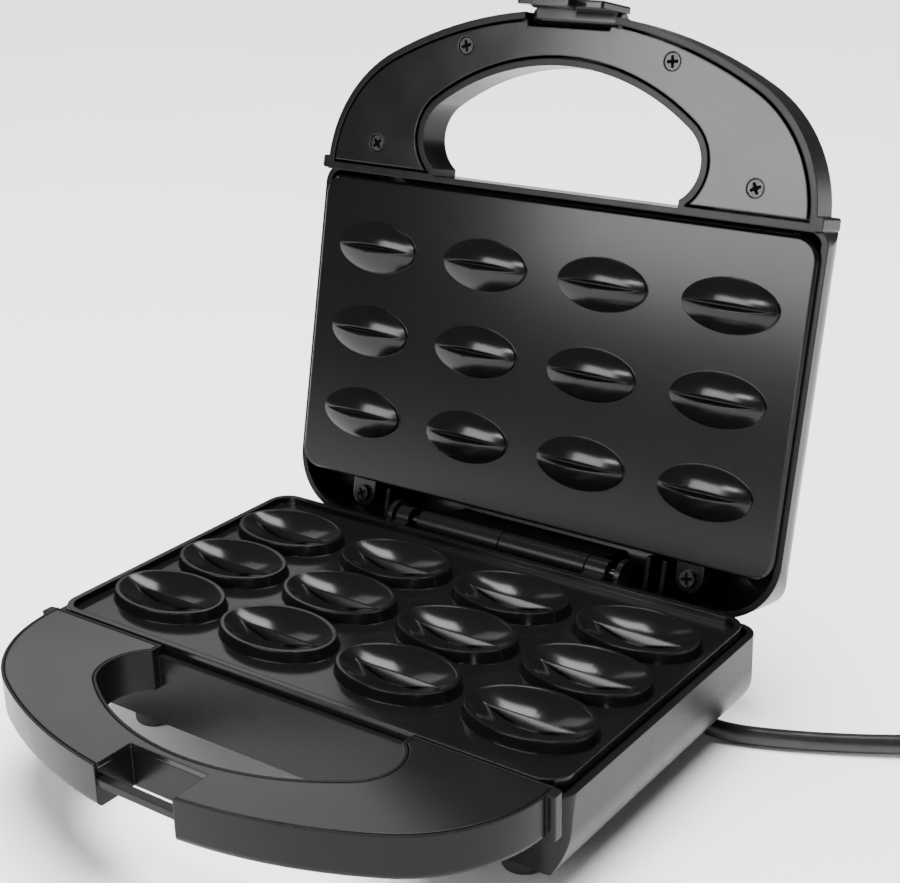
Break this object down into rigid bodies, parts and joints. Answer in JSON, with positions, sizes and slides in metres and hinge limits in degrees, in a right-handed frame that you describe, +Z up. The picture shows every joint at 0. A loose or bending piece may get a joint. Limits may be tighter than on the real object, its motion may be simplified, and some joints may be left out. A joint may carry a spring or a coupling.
{
  "type": "electric nut cookie maker",
  "caption": "Countertop nut cookie maker with a hinged lid, non-stick plates of walnut-half moulds, D-shaped handles, latch, rubber feet and a coiled mains cord",
  "frame": {"origin": "middle of the body's footprint box, on the surface that the feet stand on, with the lid open as pictured", "axes": "X along the hinge to the right as seen from the front, Y from the handles towards the hinge, Z up"},
  "size_m": [0.4358, 0.2646, 0.2546],
  "materials": {
    "casing_plastic": "satin black moulded plastic",
    "handle_plastic": "satin black moulded plastic, a little smoother",
    "nonstick_plate": "cast plate with glossy black non-stick coating",
    "screw_steel": "blackened steel",
    "heater_steel": "dull steel tube",
    "reflector_sheet": "bright rolled sheet",
    "thermostat_steel": "plain pressed can",
    "fuse_brass": "plain",
    "terminal_ceramic": "off-white block",
    "foot_rubber": "matte black rubber",
    "red_lens": "clear red",
    "green_lens": "clear green",
    "gland_rubber": "matte black",
    "cord_rubber": "semi-matte black sheath",
    "tie_plastic": "black strap",
    "plug_plastic": "moulded black",
    "plug_brass": "nickel-plated pins"
  },
  "bodies": {
    "base": {"base_shell": "casing_plastic", "lower_handle_cover": "handle_plastic", "lower_handle_screws": "screw_steel", "lower_plate": "nonstick_plate", "lower_plate_screws": "screw_steel", "lower_heater": "heater_steel", "lower_reflector": "reflector_sheet", "thermostat": "thermostat_steel", "thermal_fuse": "fuse_brass", "terminal_block": "terminal_ceramic", "rubber_feet": "foot_rubber", "hinge_pin": "screw_steel", "cord_gland": "gland_rubber", "power_cord_lead": "cord_rubber", "power_cord_coil": "cord_rubber", "cord_tie": "tie_plastic", "plug_body": "plug_plastic", "plug_pins": "plug_brass"},
    "lid": {"lid_shell": "casing_plastic", "lid_handle_cover": "handle_plastic", "lid_handle_screws": "screw_steel", "lid_tab_screws": "screw_steel", "upper_plate": "nonstick_plate", "upper_plate_screws": "screw_steel", "upper_heater": "heater_steel", "upper_reflector": "reflector_sheet", "power_lamp": "red_lens", "ready_lamp": "green_lens", "latch_pin": "screw_steel"},
    "latch": {"latch": "handle_plastic"}
  },
  "joints": [
    {"name": "lid_hinge", "type": "hinge", "parent": "base", "child": "lid", "pos_m": [0, 0.07177, 0.04825], "axis": [1, 0, 0], "range_deg": [0, 102.5]},
    {"name": "latch_pivot", "type": "hinge", "parent": "lid", "child": "latch", "pos_m": [0, 0.12412, 0.24396], "axis": [1, 0, 0], "range_deg": [0, 5.5]}
  ]
}
